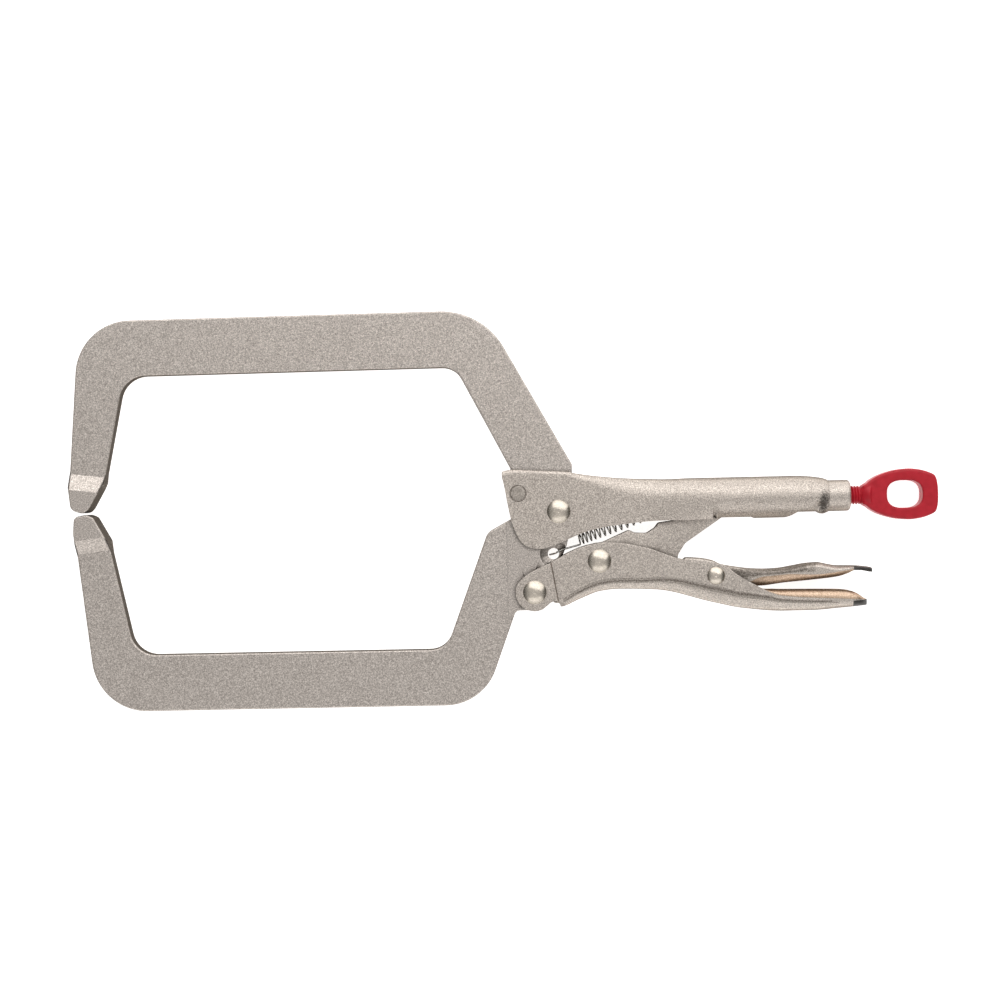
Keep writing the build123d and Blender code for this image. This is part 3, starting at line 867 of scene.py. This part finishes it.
# ---- toggle link and jaw arms: copies of their CAD shapes ----
def softened(node, name, body, material, width):
    """The CAD shape with its sharp edges rounded."""
    piece = copy_of(node, name)
    work = bmesh.new()
    work.from_mesh(piece.data)
    bmesh.ops.dissolve_limit(work, angle_limit=math.radians(0.5), verts=work.verts, edges=work.edges)
    work.to_mesh(piece.data)
    work.free()
    rounded = piece.modifiers.new("edges", "BEVEL")
    rounded.width = width * MM
    rounded.segments = 3
    rounded.limit_method = "ANGLE"
    rounded.angle_limit = math.radians(50)
    apply_modifiers(piece)
    piece.data.materials.clear()
    piece.data.materials.append(material)
    piece.data.shade_smooth()
    piece.data.set_sharp_from_angle(angle=math.radians(40))
    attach(piece, body)
    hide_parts(node)


def sharpen_slopes(mesh):
    """The borders of the slope beside each jaw tip run across the arm and stay crisp."""
    work = bmesh.new()
    work.from_mesh(mesh)
    for edge in work.edges:
        a, b = (local(v.co) for v in edge.verts)
        near_tip = a.x < -230 and 7.0 < abs(a.y + b.y) / 2 < 28.0
        across = abs(a.x - b.x) > 2 * abs(a.y - b.y) and abs(a.z - b.z) < 0.05
        if near_tip and across and len(edge.link_faces) == 2 and edge.calc_face_angle() > math.radians(10):
            edge.smooth = False
    work.to_mesh(mesh)
    work.free()


def smooth_copy(node, name, body, material):
    """The CAD shape with its narrow edge rounds shaded as one smooth strip."""
    piece = copy_of(node, name)
    piece.data.materials.clear()
    piece.data.materials.append(material)
    piece.data.shade_smooth()
    piece.data.set_sharp_from_angle(angle=math.radians(48))
    sharpen_slopes(piece.data)
    weighted = piece.modifiers.new("flat_faces_stay_flat", "WEIGHTED_NORMAL")
    weighted.keep_sharp = True
    weighted.weight = 100
    apply_modifiers(piece)
    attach(piece, body)
    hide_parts(node)


smooth_copy("upper_arm", "upper_arm_forged", "fixed_jaw", ARM)
smooth_copy("lower_arm", "lower_arm_forged", "moving_jaw", ARM)
softened("toggle_link", "toggle_link_plate", "link_body", SHEET, 0.4)


# ---- jaw spring: coil with a hook at each end ----
SPRING_HOLE, SPRING_HOOK = (-3.0, -22.2), (54.5, 1.0)
COIL_FRONT, COIL_REAR = Vector((10.4, -14.9, 0)), Vector((46.0, -3.0, 0))
COIL_R, WIRE_R, TURNS, STEPS_PER_TURN = 2.85, 0.48, 13, 20


def spring_path():
    """Middle of the wire, from the hook in the moving arm to the hook in the handle."""
    along = COIL_REAR - COIL_FRONT
    length = along.length
    u = along.normalized()
    v = Vector((-u.y, u.x, 0))
    w = Vector((0, 0, 1))
    path = []
    hook_front = Vector((SPRING_HOLE[0], SPRING_HOLE[1], 0))
    hook = [(-2.2, -0.6, -3.0), (-0.6, -0.3, -3.2), (0.9, 0.1, -2.4), (1.7, 0.4, -0.9), (1.9, 0.6, 0.6),
            (1.6, 0.7, 1.9), (2.0, 0.9, 2.5), (3.2, 1.5, 2.6), (4.6, 2.2, 2.3)]
    path += [hook_front + Vector(step) for step in hook]
    start = COIL_FRONT - v * COIL_R
    for i in range(1, 9):
        path.append(path[8].lerp(start - u * 1.2, i / 9))
    steps = TURNS * STEPS_PER_TURN
    for i in range(steps + 1):
        t = i / steps
        spread = mix(t, t * t, 0.35)
        angle = math.pi + 2 * math.pi * TURNS * t
        across = v * (COIL_R * math.cos(angle))
        path.append(COIL_FRONT + u * (length * spread) + across + w * (COIL_R * math.sin(angle)))
    hook_rear = Vector((SPRING_HOOK[0], SPRING_HOOK[1], 0))
    last = path[-1]
    first = hook_rear + Vector((-1.1, -0.9, -1.6))
    for i in range(1, 7):
        path.append(last.lerp(first, i / 7))
    for i in range(9):
        turn = math.radians(mix(200, -30, i / 8))
        height = -1.7 * math.sin(turn + 1.2)
        path.append(hook_rear + Vector((1.1 * math.cos(turn), 0.4 * math.sin(turn) - 0.3, height)))
    return path


def wire(path, radius, around):
    """Round tube along a path, without twisting."""
    points, faces = [], []
    side = Vector((0, 0, 1))
    for k, place in enumerate(path):
        ahead = (path[min(k + 1, len(path) - 1)] - path[max(k - 1, 0)]).normalized()
        side = (side - ahead * side.dot(ahead)).normalized()
        other = ahead.cross(side)
        for i in range(around):
            turn = 2 * math.pi * i / around
            spot = place + side * (radius * math.cos(turn)) + other * (radius * math.sin(turn))
            points.append(tuple(spot))
    return points, ring_faces(len(path), around)


def jaw_spring():
    points, faces = wire(spring_path(), WIRE_R, 10)
    piece = new_piece("jaw_spring_coil", points, faces, None, None, [SPRING], sharp=60)
    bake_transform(piece)
    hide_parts("jaw_spring")


jaw_spring()


# ---- studio ----
def area_light(name, place, width, height, watts):
    """Rectangular lamp that looks at the middle of the floor."""
    lamp = bpy.data.lights.new(name, "AREA")
    lamp.shape = "RECTANGLE"
    lamp.size, lamp.size_y = width, height
    lamp.energy = watts
    made = bpy.data.objects.new(name, lamp)
    made.location = place
    made.rotation_euler = (-Vector(place)).to_track_quat("-Z", "Y").to_euler()
    bpy.context.scene.collection.objects.link(made)


FLOOR_HALF = 30.0
WORLD_STRENGTH = 0.77
FLOOR_GLOW = 0.75
# Brightness of the surroundings: towards the sides, and from the horizon up.
SIDE_STOPS = [(0.0, 1.0), (0.35, 0.95), (0.75, 0.6), (1.0, 0.15)]
LOW_STOPS = [(0.0, 0.2), (0.25, 0.45), (0.5, 1.0), (1.0, 0.9)]


def studio():
    floor_mesh = bpy.data.meshes.new("studio_floor")
    corners = [(x * FLOOR_HALF, y * FLOOR_HALF, 0) for x, y in ((-1, -1), (1, -1), (1, 1), (-1, 1))]
    floor_mesh.from_pydata(corners, [], [(0, 1, 2, 3)])
    floor = bpy.data.objects.new("studio_floor", floor_mesh)
    bpy.context.scene.collection.objects.link(floor)
    s = Shader("studio_floor")
    s.link(s.ramp(s.noise(2.0, 2.0), [(0.3, (0.90, 0.90, 0.90)), (0.7, (0.93, 0.93, 0.93))]),
           s.bsdf.inputs["Base Color"])
    s.bsdf.inputs["Roughness"].default_value = 0.9
    s.bsdf.inputs["Specular IOR Level"].default_value = 0.0
    s.bsdf.inputs["Emission Color"].default_value = (1, 1, 1, 1)
    s.bsdf.inputs["Emission Strength"].default_value = FLOOR_GLOW
    floor_mesh.materials.append(s.material)
    world = bpy.data.worlds.new("studio")
    world.use_nodes = True
    tree = world.node_tree
    coords = tree.nodes.new("ShaderNodeTexCoord")
    split = tree.nodes.new("ShaderNodeSeparateXYZ")
    sideways = tree.nodes.new("ShaderNodeMath")
    sideways.operation = "ABSOLUTE"
    shade = tree.nodes.new("ShaderNodeValToRGB")
    low = tree.nodes.new("ShaderNodeValToRGB")
    both = tree.nodes.new("ShaderNodeMixRGB")
    both.blend_type = "MULTIPLY"
    both.inputs["Fac"].default_value = 1.0
    tree.links.new(coords.outputs["Generated"], split.inputs["Vector"])
    tree.links.new(split.outputs["X"], sideways.inputs[0])
    tree.links.new(sideways.outputs["Value"], shade.inputs["Fac"])
    tree.links.new(split.outputs["Z"], low.inputs["Fac"])
    for ramp, stops in ((shade, SIDE_STOPS), (low, LOW_STOPS)):
        while len(ramp.color_ramp.elements) < len(stops):
            ramp.color_ramp.elements.new(0.5)
        for element, (place, grey) in zip(ramp.color_ramp.elements, stops):
            element.position = place
            element.color = (grey, grey, grey, 1)
    tree.links.new(shade.outputs["Color"], both.inputs["Color1"])
    tree.links.new(low.outputs["Color"], both.inputs["Color2"])
    tree.links.new(both.outputs["Color"], tree.nodes["Background"].inputs["Color"])
    tree.nodes["Background"].inputs["Strength"].default_value = WORLD_STRENGTH
    bpy.context.scene.world = world
    area_light("key_top", (0.25, 0.85, 0.68), 2.3, 1.25, 11)
    area_light("fill_bottom", (0.1, -1.0, 0.55), 2.0, 0.9, 3.5)


CAMERA_HEIGHT = 1.02
LOOK_AT = at(-30.48, 6.68)
LENS = 69.8
ROLL = math.radians(-1.3)


def camera():
    data = bpy.data.cameras.new("camera")
    data.lens = LENS
    data.sensor_width = 36.0
    made = bpy.data.objects.new("camera", data)
    made.location = LOOK_AT + Vector((0, 0, CAMERA_HEIGHT))
    made.rotation_euler = (0, 0, ROLL)
    bpy.context.scene.collection.objects.link(made)
    bpy.context.scene.camera = made


studio()
camera()
bpy.context.scene.view_settings.view_transform = "Standard"
